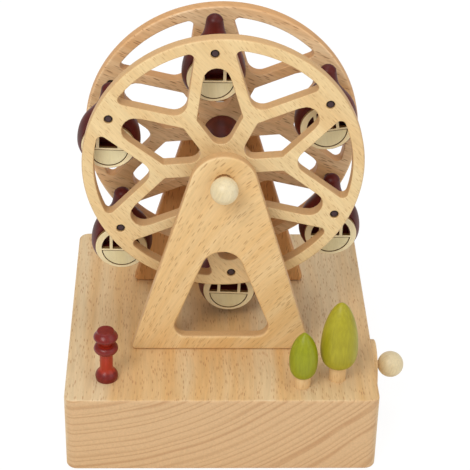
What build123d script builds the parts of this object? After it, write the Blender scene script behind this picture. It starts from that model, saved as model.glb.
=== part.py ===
from build123d import *
from math import asin, atan2, cos, hypot, pi, radians, sin, tan
import os

# Wooden ferris wheel toy turned by a hand crank.
# X points right, Y points back and Z points up, in millimetres.
# The origin is the middle of the base's underside.

# ---------------------------------------------------------------- sizes

# Fits
running_gap = 0.05
glue_gap = 0.02
# Largest share of a piece's thickness that the rounding of one edge takes
edge_share = 0.4

# Base block, hollowed from below
base_width = 115.0
base_depth = 114.0
base_height = 32.0
base_corner_radius = 4.0
base_edge_radius = 1.0
base_wall = 12.0
base_top_thickness = 7.0
cavity_corner_radius = 8.0

# Panel that closes the hollow, and its screws
panel_ledge = 6.0
panel_thickness = 3.0
panel_side_gap = 0.3
screw_radius = 1.25
screw_head_radius = 2.5
screw_head_depth = 1.5
screw_length = 9.0
screw_slot_width = 0.7
screw_slot_depth = 0.7

# Gondola, turned about an upright axis and hung from its pin
gondola_count = 6
gondola_depth = 12.0
gondola_top = 7.8
gondola_tip_radius = 3.05
gondola_tip_height = 5.3
gondola_neck_radius = 3.95
gondola_neck_height = 0.9
gondola_shoulder_radius = 9.45
gondola_shoulder_drop = 6.5
gondola_belly_radius = 11.5
gondola_belly_drop = 13.6
gondola_foot_radius = 8.3
gondola_foot_drop = 22.0
gondola_drop = 23.4
gondola_base_radius = 6.4
gondola_side_play = 3.5
gondola_ground_clearance = 4.2
gondola_side_tangents = ((0.2, -1), (-1, -1.1))
# Lean of each gondola on its pin at rest, and how far back it sits along the pin, clockwise from the top one
gondola_leans = (0.4, -0.5, 0.0, 2.0, 1.0, 2.0)
gondola_slides = (0.0, 0.0, 0.0, 0.0, 0.0, -3.2)
# Turn at which each gondola's plates are glued on, about the middle of their round window
gondola_plate_turns = (0.0, -8.5, 0.0, 0.0, 0.0, 0.0)

# Oval front and back plates of a gondola, with their windows
fascia_thickness = 1.5
fascia_half_width = 9.75
fascia_half_height = 8.9
fascia_drop = 14.0
fascia_edge_radius = 0.35
window_radius = 7.45
window_drop = 14.45
sill_offset = 0.1
sill_height = 0.7
mullion_offset = 3.85
mullion_width = 1.1
pocket_depth = 3.0
pocket_margin = 0.55
panel_kerf = 0.35
half_moon_thickness = 1.3

# Wheels
wheel_radius = 51.0
wheel_thickness = 5.2
wheel_edge_radius = 1.0
rim_width = 4.3
pin_inset = 5.6
first_pin_angle = -4.6
node_half_width = 7.0
v_spoke_width = 4.2
v_spoke_angle = 12.2
hub_spoke_width = 5.8
kite_tip_radius = 4.85
kite_side_radius = 1.0
kite_base_radius = 4.0
window_root_radius = 4.8
window_corner_radius = 1.8

# Pins that carry the gondolas
pin_radius = 1.5
pin_recess = 0.4
pin_end_radius = 0.7

# Axle and what sits on it
axle_radius = 2.5
axle_ball_radius = 5.0
axle_ball_gap = 0.3
axle_depth_past_ball_centre = 1.5
hub_barrel_radius = 6.9
collar_radius = 4.6
collar_length = 6.0
collar_play = 0.3
pulley_play = 0.5

# Round belt and its two pulleys
belt_radius = 0.7
belt_gap = 0.15
belt_turn_radius_small = 3.8
drive_ratio = 2.0
pulley_width = 3.0
pulley_flange_height = 1.0
belt_slot_margin = 2.2
belt_slot_width = 3.6

# A-frames
frame_thickness = 4.4
frame_foot_half_width = 34.0
frame_foot_radius = 1.5
frame_edge_radius = 1.0
frame_top_radius = 12.2
frame_top_below_axle = 1.6
frame_bottom_bar = 6.1
frame_throat_below_axle = 29.5
cutout_half_angle = 20.8
cutout_tip_radius = 7.65
cutout_corner_radius = 4.5
axle_counterbore_radius = 3.73
axle_counterbore_depth = 1.6
frame_dowel_radius = 1.25
frame_dowel_offset = 25.0
frame_dowel_depth_in_base = 5.5
frame_dowel_depth_in_frame = 8.0

# Crank
crank_y = -17.0
crank_height = 16.0
crank_shaft_radius = 2.5
crank_disc_radius = 12.0
crank_disc_thickness = 2.2
crank_disc_edge_radius = 0.5
crank_side_gap = 0.4
knob_radius = 5.0
knob_gap = 0.4
knob_throw = 7.3
knob_angle = 124.5
knob_pin_radius = 1.5
knob_pin_past_centre = 1.5

# Pair of equal bevel gears at a right angle, and the shaft to the belt
gear_teeth = 16
gear_module = 0.9
gear_face_width = 3.2
gear_addendum = 0.75
gear_dedendum = 1.05
gear_pressure_angle = 20.0
gear_backlash = 0.5
gear_hub_radius = 4.6
gear_hub_length = 3.0
cross_shaft_radius = 2.0
bearing_block_width = 16.0
bearing_block_thickness = 6.0
bearing_block_below_shaft = 6.0
bearing_end_play = 0.3

# Pegs that stand in the base's top
peg_depth = 5.0

# Turned post: radii and heights of its foot, shaft, bead, neck and cap
post_from_side = 15.15
post_from_front = 14.1
post_peg_radius = 2.0
post_foot_radius = 4.2
post_foot_taper = 0.95
post_foot_height = 1.3
post_flare_height = 3.7
post_shaft_radius = 2.4
post_shaft_length = 6.9
post_bead_radius = 4.45
post_bead_height = 3.3
post_neck_radius = 2.1
post_neck_length = 1.5
post_cap_radius = 4.4
post_cap_height = 4.8
post_cap_widest = 0.48
post_cap_crown = (0.72, 0.85)
post_cap_tangents = ((1, 0.3), (-1, 0))

# Trees: place, trunk and crown
small_tree_from_side = 28.0
small_tree_from_front = 9.6
small_trunk_radius = 3.0
small_trunk_height = 3.8
small_crown_radius = 5.25
small_crown_height = 19.9
small_crown_waist = 7.9
small_crown_point = 0.14
large_tree_from_side = 14.8
large_tree_from_front = 13.9
large_trunk_radius = 3.1
large_trunk_height = 5.6
large_crown_radius = 6.9
large_crown_height = 28.2
large_crown_waist = 8.3
large_crown_point = 0.05
trunk_depth_in_crown = 6.0
crown_fullness = 0.5
crown_foot_fullness = 0.8
crown_foot_rise = 0.4

# ------------------------------------------------------- worked-out places

half_width = base_width / 2
half_depth = base_depth / 2
ceiling = base_height - base_top_thickness
post_x = post_from_side - half_width
post_y = post_from_front - half_depth
small_tree_x = half_width - small_tree_from_side
small_tree_y = small_tree_from_front - half_depth
large_tree_x = half_width - large_tree_from_side
large_tree_y = large_tree_from_front - half_depth

pin_circle_radius = wheel_radius - pin_inset
axle_height = base_height + pin_circle_radius + gondola_drop + gondola_ground_clearance
wheel_gap = gondola_depth + 2 * fascia_thickness + 2 * gondola_side_play
frame_gap = (
    collar_play + collar_length + 2 * wheel_thickness + wheel_gap + pulley_width + pulley_play
)
frame_inner = frame_gap / 2
frame_outer = frame_inner + frame_thickness
front_wheel_front = -frame_inner + collar_play + collar_length
front_wheel_back = front_wheel_front + wheel_thickness
rear_wheel_front = front_wheel_back + wheel_gap
rear_wheel_back = rear_wheel_front + wheel_thickness
wheel_middle = (front_wheel_back + rear_wheel_front) / 2
belt_plane = rear_wheel_back + pulley_width / 2
half_step = 180 / gondola_count

belt_turn_radius_large = belt_turn_radius_small * drive_ratio

gear_pitch_radius = gear_module * gear_teeth / 2
gear_cone_length = gear_pitch_radius * 2 ** 0.5
gear_back = gear_pitch_radius + gear_dedendum / 2 ** 0.5 + gear_hub_length

crank_disc_inner = half_width + crank_side_gap
crank_disc_outer = crank_disc_inner + crank_disc_thickness


# ---------------------------------------------------------------- helpers


def rod_x(radius, start, end, y, z):
    """Round rod along X between two x values."""
    return Pos((start + end) / 2, y, z) * Rot(0, 90, 0) * Cylinder(radius, end - start)


def rod_y(radius, start, end, x=0.0, z=0.0):
    """Round rod along Y between two y values."""
    return Pos(x, (start + end) / 2, z) * Rot(90, 0, 0) * Cylinder(radius, end - start)


def rod_z(radius, start, end, x=0.0, y=0.0):
    """Round rod along Z between two z values."""
    return Pos(x, y, (start + end) / 2) * Cylinder(radius, end - start)


def slab_y(sketch, start, end):
    """Plate cut from a sketch drawn in X and Z, between two y values."""
    return extrude(Plane.XZ.offset(-end) * sketch, amount=end - start)


def block(x_range, y_range, z_range):
    """Box between two corners, given as ranges."""
    sizes = [high - low for low, high in (x_range, y_range, z_range)]
    middles = [(low + high) / 2 for low, high in (x_range, y_range, z_range)]
    return Pos(*middles) * Box(*sizes)


def rounded_block(width, depth, low, high, corner_radius):
    """Upright block with rounded corners, centred on the Z axis."""
    return Pos(0, 0, low) * extrude(RectangleRounded(width, depth, corner_radius), amount=high - low)


def turned(outline):
    """Solid turned about Z from a closed outline drawn in X and Z."""
    return revolve(Plane.XZ * make_face(outline), axis=Axis.Z)


def write(name, *solids):
    """Write one node, with one or more separate solids."""
    shape = solids[0] if len(solids) == 1 else Compound(children=list(solids))
    shape.label = name
    export_step(shape, f"parts/{name}.step")


def bore_y(radius, x=0.0, z=0.0):
    """Long cutter along Y, through the whole toy."""
    return rod_y(radius, -base_depth, base_depth, x, z)


# ------------------------------------------------------------------- base


def screw_places():
    """Middle of the ledge in each corner of the hollow."""
    cavity_corner = half_width - base_wall - cavity_corner_radius
    inner = cavity_corner + cavity_corner_radius / 2 ** 0.5
    outer = half_width - base_wall + panel_ledge
    x = (inner + outer) / 2
    y = x - half_width + half_depth
    return [(side_x * x, side_y * y) for side_x in (-1, 1) for side_y in (-1, 1)]


def frame_dowel_places():
    """Two dowels under each A-frame."""
    middle = (frame_inner + frame_outer) / 2
    return [(x, y) for y in (-middle, middle) for x in (-frame_dowel_offset, frame_dowel_offset)]


def belt_half_span(z):
    """Distance from the belt's middle line to one of its straight runs at a height."""
    slope = (belt_turn_radius_large - belt_turn_radius_small) / (axle_height - crank_height)
    return belt_turn_radius_small + slope * (z - crank_height)


def base_block():
    """Beech block with a hollow for the drive, closed from below."""
    block_solid = rounded_block(base_width, base_depth, 0, base_height, base_corner_radius)
    outer_rims = block_solid.edges().filter_by_position(Axis.Z, 0, 0)
    outer_rims += block_solid.edges().filter_by_position(Axis.Z, base_height, base_height)
    block_solid = fillet(outer_rims, base_edge_radius)
    block_solid -= rounded_block(
        base_width - 2 * base_wall, base_depth - 2 * base_wall, 0, ceiling, cavity_corner_radius
    )
    block_solid -= rounded_block(
        base_width - 2 * (base_wall - panel_ledge),
        base_depth - 2 * (base_wall - panel_ledge),
        0,
        panel_thickness,
        base_corner_radius,
    )
    block_solid -= rod_x(
        crank_shaft_radius + running_gap, half_width - 2 * base_wall, base_width, crank_y, crank_height
    )
    slot_length = 2 * (belt_half_span(base_height) + belt_radius + belt_slot_margin)
    slot = extrude(SlotOverall(slot_length, belt_slot_width), amount=2 * base_top_thickness)
    block_solid -= Pos(0, belt_plane, ceiling - base_top_thickness / 2) * slot
    for x, y in frame_dowel_places():
        low = base_height - frame_dowel_depth_in_base
        block_solid -= rod_z(frame_dowel_radius + glue_gap, low, base_height + 1, x, y)
    for x, y, radius in standing_pegs():
        block_solid -= rod_z(radius + glue_gap, base_height - peg_depth, base_height + 1, x, y)
    for x, y in screw_places():
        block_solid -= rod_z(screw_radius + glue_gap, 0, screw_length, x, y)
    return block_solid


def standing_pegs():
    """Place and radius of each peg that stands in the base's top."""
    return [
        (post_x, post_y, post_peg_radius),
        (small_tree_x, small_tree_y, small_trunk_radius),
        (large_tree_x, large_tree_y, large_trunk_radius),
    ]


def screw_shape(radius_gap, with_slot):
    """Countersunk screw pointing up, with its head's face at z 0."""
    gap = radius_gap
    head_radius = screw_head_radius + gap
    outline = Polyline(
        (0, 0),
        (head_radius, 0),
        (screw_radius + gap, screw_head_depth),
        (screw_radius + gap, screw_length - screw_radius),
        (0, screw_length),
        close=True,
    )
    screw = turned(outline)
    if with_slot:
        slot_side = 2 * screw_head_radius + 1
        screw -= block(
            (-slot_side, slot_side),
            (-screw_slot_width / 2, screw_slot_width / 2),
            (-1, screw_slot_depth),
        )
    return screw


def base_panel():
    """Plywood panel that closes the hollow, flush with the base's underside."""
    inset = base_wall - panel_ledge + panel_side_gap
    panel = rounded_block(
        base_width - 2 * inset,
        base_depth - 2 * inset,
        0,
        panel_thickness,
        base_corner_radius - panel_side_gap,
    )
    for x, y in screw_places():
        panel -= Pos(x, y, 0) * screw_shape(glue_gap, False)
    return panel


def base_panel_screws():
    """One countersunk screw in each corner of the panel."""
    return [Pos(x, y, 0) * screw_shape(0, True) for x, y in screw_places()]


# ------------------------------------------------------------------ drive


def tooth_section(distance, swell):
    """Cross-section of a gear tooth at a distance from the cone's apex."""
    scale = distance / gear_cone_length
    along = Vector(sin(pi / 4), 0, cos(pi / 4))
    outward = Vector(cos(pi / 4), 0, -sin(pi / 4))
    across = Vector(0, 1, 0)
    pitch_half = (pi * gear_module / 2 - gear_backlash) / 2
    flank = tan(radians(gear_pressure_angle))
    root_depth = gear_dedendum + swell
    corners = []
    for height, side in (
        (-root_depth, -1),
        (gear_addendum, -1),
        (gear_addendum, 1),
        (-root_depth, 1),
    ):
        half = (pitch_half - height * flank) * side
        corners.append(along * distance + (outward * height + across * half) * scale)
    return Face(Wire.make_polygon(corners, close=True))


def bevel_gear(bore_radius, phase):
    """Bevel gear on Z with its cone's apex at the origin and its back towards +Z."""
    root_offset = gear_dedendum / 2 ** 0.5
    toe_distance = gear_cone_length - gear_face_width
    toe_scale = toe_distance / gear_cone_length
    heel = (gear_pitch_radius - root_offset, gear_pitch_radius + root_offset)
    toe = (heel[0] * toe_scale, heel[1] * toe_scale)
    outline = Polyline(
        (bore_radius, toe[1]),
        toe,
        heel,
        (gear_hub_radius, heel[1] + root_offset),
        (gear_hub_radius, gear_back),
        (bore_radius, gear_back),
        close=True,
    )
    gear = turned(outline)
    root_swell = gear_dedendum / 3
    tooth = loft([tooth_section(toe_distance, root_swell), tooth_section(gear_cone_length, root_swell)])
    step = 360 / gear_teeth
    teeth = [Rot(0, 0, phase * step + index * step) * tooth for index in range(gear_teeth)]
    return gear.fuse(*teeth)


def crank_bevel_gear():
    """Gear on the crank's shaft, its teeth facing the middle of the base."""
    gear = bevel_gear(crank_shaft_radius + glue_gap, 0)
    return Pos(0, crank_y, crank_height) * Rot(0, 90, 0) * Rot(0, 0, 90) * gear


def cross_shaft_bevel_gear():
    """Gear on the cross shaft, half a tooth on from the crank's gear."""
    gear = bevel_gear(cross_shaft_radius + glue_gap, 0.5)
    return Pos(0, crank_y, crank_height) * Rot(-90, 0, 0) * gear


def toe_of_gear():
    """Distance from the cone's apex to the gears' inner ends along their shafts."""
    toe_scale = (gear_cone_length - gear_face_width) / gear_cone_length
    return (gear_pitch_radius + gear_dedendum / 2 ** 0.5) * toe_scale


def bearing_block(x_range, y_range, bore):
    """Wooden block hung from the hollow's ceiling, with a shaft's bore."""
    low = crank_height - bearing_block_below_shaft
    return block(x_range, y_range, (low, ceiling)) - bore


def crank_bearing_block():
    """Block that carries the crank shaft's inner end, behind the gear."""
    start = gear_back + bearing_end_play
    half = bearing_block_width / 2
    bore = rod_x(crank_shaft_radius + running_gap, 0, half_width, crank_y, crank_height)
    return bearing_block(
        (start, start + bearing_block_thickness), (crank_y - half, crank_y + half), bore
    )


def cross_shaft_spans():
    """Ranges along Y of the two blocks that carry the cross shaft."""
    front_start = crank_y + gear_back + bearing_end_play
    rear_start = belt_plane + pulley_width / 2 + bearing_end_play
    return [(start, start + bearing_block_thickness) for start in (front_start, rear_start)]


def cross_shaft_bearing_blocks():
    """Two blocks that carry the cross shaft, one behind its gear and one behind its pulley."""
    half = bearing_block_width / 2
    bore = bore_y(cross_shaft_radius + running_gap, z=crank_height)
    return [bearing_block((-half, half), span, bore) for span in cross_shaft_spans()]


def pulley(turn_radius, bore_radius, y_middle, z):
    """Grooved pulley on a shaft along Y."""
    low = y_middle - pulley_width / 2
    high = y_middle + pulley_width / 2
    wheel = rod_y(turn_radius + pulley_flange_height, low, high)
    groove_radius = belt_radius + belt_gap
    groove = Pos(0, y_middle, 0) * Rot(90, 0, 0) * Torus(turn_radius, groove_radius)
    mouth = rod_y(2 * turn_radius + pulley_flange_height, y_middle - groove_radius, y_middle + groove_radius)
    mouth -= rod_y(turn_radius, low, high)
    return Pos(0, 0, z) * (wheel - groove - mouth - rod_y(bore_radius, low - 1, high + 1))


def drive_belt():
    """Round belt that runs straight between the two pulleys."""
    rise = axle_height - crank_height
    lean = asin((belt_turn_radius_large - belt_turn_radius_small) / rise)
    top = (belt_turn_radius_large * cos(lean), belt_turn_radius_large * sin(lean) + rise)
    low = (belt_turn_radius_small * cos(lean), belt_turn_radius_small * sin(lean))
    over_top = ThreePointArc(top, (0, rise + belt_turn_radius_large), (-top[0], top[1]))
    under = ThreePointArc((-low[0], low[1]), (0, -belt_turn_radius_small), low)
    path = Line(low, top) + over_top + Line((-top[0], top[1]), (-low[0], low[1])) + under
    start = Plane(origin=(0, 0, 0), x_dir=(0, 0, 1), z_dir=(top[0] - low[0], top[1] - low[1], 0))
    section = start * Circle(belt_radius)
    belt = sweep(Pos(low[0], low[1], 0) * section, path=path)
    return Pos(0, belt_plane, crank_height) * Rot(90, 0, 0) * belt


def cross_shaft():
    """Shaft from the bevel gear to behind the rear block."""
    rear_end = cross_shaft_spans()[1][1]
    return rod_y(cross_shaft_radius, crank_y + toe_of_gear(), rear_end, 0, crank_height)


# ------------------------------------------------------------------ crank


def knob_place():
    """Height and depth of the knob's axis."""
    angle = radians(knob_angle)
    return crank_y + knob_throw * cos(angle), crank_height + knob_throw * sin(angle)


def crank_shaft():
    """Dowel from the bevel gear out through the base's right side."""
    return rod_x(crank_shaft_radius, toe_of_gear(), crank_disc_outer, crank_y, crank_height)


def crank_disc():
    """Round crank plate, with holes for its shaft and the knob's pin."""
    disc = rod_x(crank_disc_radius, crank_disc_inner, crank_disc_outer, crank_y, crank_height)
    rims = disc.edges().filter_by(GeomType.CIRCLE)
    disc = fillet(rims, min(crank_disc_edge_radius, edge_share * crank_disc_thickness))
    knob_y, knob_z = knob_place()
    disc -= rod_x(crank_shaft_radius + glue_gap, half_width, base_width, crank_y, crank_height)
    return disc - rod_x(knob_pin_radius + glue_gap, half_width, base_width, knob_y, knob_z)


def knob_centre():
    """Distance of the knob's middle from the toy's middle."""
    return crank_disc_outer + knob_gap + knob_radius


def crank_knob():
    """Ball knob, bored for its pin from the disc's side."""
    knob_y, knob_z = knob_place()
    centre = knob_centre()
    bore = rod_x(
        knob_pin_radius + glue_gap, half_width, centre + knob_pin_past_centre, knob_y, knob_z
    )
    return Pos(centre, knob_y, knob_z) * Sphere(knob_radius) - bore


def knob_pin():
    """Dowel that holds the knob on the disc."""
    knob_y, knob_z = knob_place()
    return rod_x(
        knob_pin_radius, crank_disc_inner, knob_centre() + knob_pin_past_centre, knob_y, knob_z
    )


# --------------------------------------------------------------- A-frames


def frame_sketch():
    """Outline of an A-frame in X and Z, with its cut-out."""
    top_centre = axle_height - frame_top_below_axle
    rise = top_centre - base_height
    reach = hypot(frame_foot_half_width, rise)
    lean = atan2(frame_foot_half_width, rise) - asin(frame_top_radius / reach)
    touch_x = frame_top_radius * cos(lean)
    touch_z = top_centre + frame_top_radius * sin(lean)
    legs = Polygon(
        (-frame_foot_half_width, base_height),
        (frame_foot_half_width, base_height),
        (touch_x, touch_z),
        (-touch_x, touch_z),
        align=None,
    )
    legs = fillet(legs.vertices().group_by(Axis.Y)[0], frame_foot_radius)
    return legs + Pos(0, top_centre) * Circle(frame_top_radius) - cutout_sketch()


def cutout_sketch():
    """Rounded triangle that opens an A-frame."""
    throat = axle_height - frame_throat_below_axle
    low = base_height + frame_bottom_bar
    half_angle = radians(cutout_half_angle)
    apex = throat - cutout_tip_radius + cutout_tip_radius / sin(half_angle)
    half = (apex - low) * tan(half_angle)
    triangle = Polygon((-half, low), (half, low), (0, apex), align=None)
    triangle = fillet(triangle.vertices().sort_by(Axis.Y)[-1], cutout_tip_radius)
    return fillet(triangle.vertices().group_by(Axis.Y)[0], cutout_corner_radius)


def a_frame(side):
    """A-frame on the front (side -1) or the back (side 1) of the wheels."""
    start = min(side * frame_inner, side * frame_outer)
    end = max(side * frame_inner, side * frame_outer)
    frame = slab_y(frame_sketch(), start, end)
    face_edges = frame.edges().filter_by_position(Axis.Y, start, start)
    face_edges += frame.edges().filter_by_position(Axis.Y, end, end)
    face_edges = [edge for edge in face_edges if edge.center().Z > base_height + 0.01]
    frame = fillet(face_edges, frame_edge_radius)
    frame -= bore_y(axle_radius + running_gap, z=axle_height)
    counterbore_start = frame_outer - axle_counterbore_depth
    counterbore = rod_y(axle_counterbore_radius, counterbore_start, base_depth, 0, axle_height)
    if side < 0:
        counterbore = mirror(counterbore, about=Plane.XZ)
    frame -= counterbore
    top = base_height + frame_dowel_depth_in_frame
    for x, y in frame_dowel_places():
        frame -= rod_z(frame_dowel_radius + glue_gap, base_height - 1, top, x, y)
    return frame


def a_frame_dowels():
    """Dowels that hold the A-frames on the base."""
    low = base_height - frame_dowel_depth_in_base
    high = base_height + frame_dowel_depth_in_frame
    return [rod_z(frame_dowel_radius, low, high, x, y) for x, y in frame_dowel_places()]


# ----------------------------------------------------------------- wheels


def kite_sketch():
    """Opening between the two arms of a V, point outwards, drawn straight up."""
    slope = tan(radians(v_spoke_angle))
    step = radians(half_step)
    half_at_pin = node_half_width - v_spoke_width / cos(radians(v_spoke_angle))
    reach = half_at_pin + slope * pin_circle_radius
    side_v = (reach * cos(step) + hub_spoke_width / 2) / (sin(step) + slope * cos(step))
    side_u = reach - slope * side_v
    low = hub_spoke_width / 2 / sin(step)
    kite = Polygon((0, low), (side_u, side_v), (0, reach / slope), (-side_u, side_v), align=None)
    kite = fillet(kite.vertices().sort_by(Axis.Y)[0], kite_base_radius)
    kite = fillet(kite.vertices().sort_by(Axis.Y)[-1], kite_tip_radius)
    sides = kite.vertices().sort_by(Axis.X)
    return fillet([sides[0], sides[-1]], kite_side_radius)


def rim_window_sketch():
    """Opening between two neighbouring Vs and the rim, drawn straight up."""
    slope = tan(radians(v_spoke_angle))
    step = radians(half_step)
    root = (node_half_width + slope * pin_circle_radius) / (sin(step) + slope * cos(step))
    side = radians(half_step + v_spoke_angle)
    far = 2 * wheel_radius
    wedge = Polygon(
        (0, root),
        (far * sin(side), root + far * cos(side)),
        (0, root + 2 * far),
        (-far * sin(side), root + far * cos(side)),
        align=None,
    )
    window = wedge & Circle(wheel_radius - rim_width)
    window = fillet(window.vertices().sort_by(Axis.Y)[0], window_root_radius)
    corners = window.vertices().sort_by(Axis.X)
    return fillet([corners[0], corners[-1]], window_corner_radius)


def pin_angles():
    """Clockwise angle of each pin from straight up, seen from the front."""
    return [first_pin_angle + 2 * half_step * index for index in range(gondola_count)]


def pin_place(angle):
    """X and Z of a pin on the wheels."""
    turn = radians(angle)
    return pin_circle_radius * sin(turn), axle_height + pin_circle_radius * cos(turn)


def ferris_wheel(start, end):
    """Fretted wheel between two y values."""
    sketch = Circle(wheel_radius)
    kite = kite_sketch()
    window = rim_window_sketch()
    pin_hole = Pos(0, pin_circle_radius) * Circle(pin_radius + glue_gap)
    for angle in pin_angles():
        sketch -= Rot(0, 0, -angle) * kite
        sketch -= Rot(0, 0, -angle - half_step) * window
        sketch -= Rot(0, 0, -angle) * pin_hole
    sketch -= Circle(axle_radius + glue_gap)
    wheel = slab_y(sketch, start, end)
    rims = wheel.edges().filter_by(GeomType.CIRCLE)
    rims = [edge for edge in rims if edge.radius > wheel_radius - rim_width / 2]
    wheel = fillet(rims, wheel_edge_radius)
    return Pos(0, 0, axle_height) * wheel


def axle_sleeve(radius, start, end):
    """Round spacer on the axle between two y values."""
    sleeve = rod_y(radius, start, end) - rod_y(axle_radius + glue_gap, start - 1, end + 1)
    return Pos(0, 0, axle_height) * sleeve


def ball_centre():
    """Distance of each axle ball's middle from the toy's middle."""
    return frame_outer + axle_ball_gap + axle_ball_radius


def axle_ball(side):
    """Ball glued on the front (side -1) or back (side 1) end of the axle."""
    end = ball_centre() + axle_depth_past_ball_centre
    bore = rod_y(axle_radius + glue_gap, -end, end)
    ball = Pos(0, side * ball_centre(), 0) * Sphere(axle_ball_radius) - bore
    return Pos(0, 0, axle_height) * ball


def wheel_axle():
    """Dowel through both wheels and both A-frames."""
    end = ball_centre() + axle_depth_past_ball_centre
    return rod_y(axle_radius, -end, end, 0, axle_height)


def gondola_pin(angle):
    """Dowel glued in both wheels, which one gondola turns on."""
    x, z = pin_place(angle)
    pin = rod_y(pin_radius, front_wheel_front + pin_recess, rear_wheel_back - pin_recess, x, z)
    rounding = min(pin_end_radius, edge_share * 2 * pin_radius)
    return fillet(pin.edges().filter_by(GeomType.CIRCLE), rounding)


# --------------------------------------------------------------- gondolas


def gondola_outline():
    """Half of the turned shape, from the top down, with its pin at z 0."""
    side = Spline(
        (gondola_tip_radius, gondola_tip_height),
        (gondola_neck_radius, gondola_neck_height),
        (gondola_shoulder_radius, -gondola_shoulder_drop),
        (gondola_belly_radius, -gondola_belly_drop),
        (gondola_foot_radius, -gondola_foot_drop),
        tangents=gondola_side_tangents,
    )
    dome = Bezier(
        (0, gondola_top),
        (gondola_tip_radius / 2, gondola_top),
        (gondola_tip_radius, (gondola_top + gondola_tip_height) / 2),
        (gondola_tip_radius, gondola_tip_height),
    )
    foot = Polyline(side @ 1, (gondola_base_radius, -gondola_drop), (0, -gondola_drop), (0, gondola_top))
    return dome + side + foot


def windows_sketch(margin):
    """The part of the round window above its sill, drawn about the pin."""
    sill = -window_drop - sill_offset
    disc = Pos(0, -window_drop) * Circle(window_radius - margin)
    above = Pos(0, sill + window_radius) * Rectangle(4 * window_radius, 2 * window_radius)
    return disc & above


def half_moon_sketch(margin):
    """The part of the round window below the sill, drawn about the pin."""
    top = -window_drop - sill_offset - sill_height - margin
    disc = Pos(0, -window_drop) * Circle(window_radius - margin)
    below = Pos(0, top - window_radius) * Rectangle(4 * window_radius, 2 * window_radius)
    return disc & below


def gondola_body():
    """Turned body with flat front and back, a pin bore and a pocket behind its windows."""
    half = gondola_depth / 2
    wide = 2 * gondola_belly_radius
    slab = block((-wide, wide), (-half, half), (-2 * gondola_drop, 2 * gondola_drop))
    body = turned(gondola_outline()) & slab
    body -= rod_y(pin_radius + running_gap, -wide, wide)
    pocket = windows_sketch(pocket_margin)
    body -= slab_y(pocket, half - pocket_depth, half + 1)
    return body - slab_y(pocket, -half - 1, -half + pocket_depth)


def fascia():
    """Oval plate with three windows over an opening for the half-moon."""
    oval = Pos(0, -fascia_drop) * Ellipse(fascia_half_width, fascia_half_height)
    plate = slab_y(oval, -fascia_thickness, 0)
    front = plate.edges().sort_by(Axis.Y)[0]
    plate = fillet(front, fascia_edge_radius)
    openings = windows_sketch(0)
    for side in (-1, 1):
        openings -= Pos(side * mullion_offset, -window_drop) * Rectangle(mullion_width, 4 * window_radius)
    openings += half_moon_sketch(0)
    return plate - slab_y(openings, -fascia_thickness - 1, 1)


def front_and_back(plate):
    """A plate seated on the gondola's flat front, and its copy on the back."""
    front = Pos(0, -gondola_depth / 2, 0) * plate
    return [front, Rot(0, 0, 180) * front]


def hang(solids, angle, lean, slide):
    """Hang pieces drawn about their pin on the wheels, leaning and slid along it as they rest."""
    x, z = pin_place(angle)
    place = Pos(x, wheel_middle + slide, z) * Rot(0, lean, 0)
    return [place * solid for solid in solids]


def glued_turned(plates, turn):
    """Plates that were glued on a few degrees off, turned about the middle of their window."""
    middle = Pos(0, 0, -window_drop)
    return [middle * Rot(0, turn, 0) * middle.inverse() * plate for plate in plates]


# ---------------------------------------------------------- post and trees


def red_post():
    """Turned post with a flared foot, a bead and a domed cap, on a peg."""
    flare_top = post_foot_height + post_flare_height
    shaft_top = flare_top + post_shaft_length
    bead_top = shaft_top + post_bead_height
    neck_top = bead_top + post_neck_length
    top = neck_top + post_cap_height
    base = Polyline(
        (0, top),
        (0, -peg_depth),
        (post_peg_radius, -peg_depth),
        (post_peg_radius, 0),
        (post_foot_taper * post_foot_radius, 0),
        (post_foot_radius, post_foot_height),
    )
    flare = Bezier(
        base @ 1,
        (post_foot_radius, post_foot_height + post_flare_height / 2),
        (post_shaft_radius, flare_top - post_flare_height / 4),
        (post_shaft_radius, flare_top),
    )
    shaft = Line((post_shaft_radius, flare_top), (post_shaft_radius, shaft_top))
    bead = ThreePointArc(
        shaft @ 1, (post_bead_radius, shaft_top + post_bead_height / 2), (post_neck_radius, bead_top)
    )
    neck = Line(bead @ 1, (post_neck_radius, neck_top))
    cap = Spline(
        neck @ 1,
        (post_cap_radius, neck_top + post_cap_widest * post_cap_height),
        (post_cap_crown[0] * post_cap_radius, neck_top + post_cap_crown[1] * post_cap_height),
        (0, top),
        tangents=post_cap_tangents,
    )
    post = turned(base + flare + shaft + bead + neck + cap)
    return Pos(post_x, post_y, base_height) * post


def tree_trunk(x, y, radius, height):
    """Dowel pegged into the base and up into its crown."""
    return rod_z(radius, base_height - peg_depth, base_height + height + trunk_depth_in_crown, x, y)


def tree_crown(x, y, trunk_radius, trunk_height, radius, height, waist, point):
    """Egg turned about its trunk, bored from below, with a tip that is round or more pointed."""
    rise = height - waist
    lower = Bezier(
        (0, 0), (crown_foot_fullness * radius, 0), (radius, crown_foot_rise * waist), (radius, waist)
    )
    upper = Bezier(
        (radius, waist),
        (radius, waist + rise / 2),
        (crown_fullness * radius, height - point * rise),
        (0, height),
    )
    crown = turned(lower + upper + Line((0, height), (0, 0)))
    crown -= rod_z(trunk_radius + glue_gap, -1, trunk_depth_in_crown)
    return Pos(x, y, base_height + trunk_height) * crown


# ------------------------------------------------------------------ pieces

os.makedirs("parts", exist_ok=True)

write("base_block", base_block())
write("base_panel", base_panel())
write("base_panel_screws", *base_panel_screws())
write("crank_bearing_block", crank_bearing_block())
write("cross_shaft_bearing_blocks", *cross_shaft_bearing_blocks())
write("drive_belt", drive_belt())
write("front_a_frame", a_frame(-1))
write("rear_a_frame", a_frame(1))
write("a_frame_dowels", *a_frame_dowels())
write("red_post", red_post())

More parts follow.
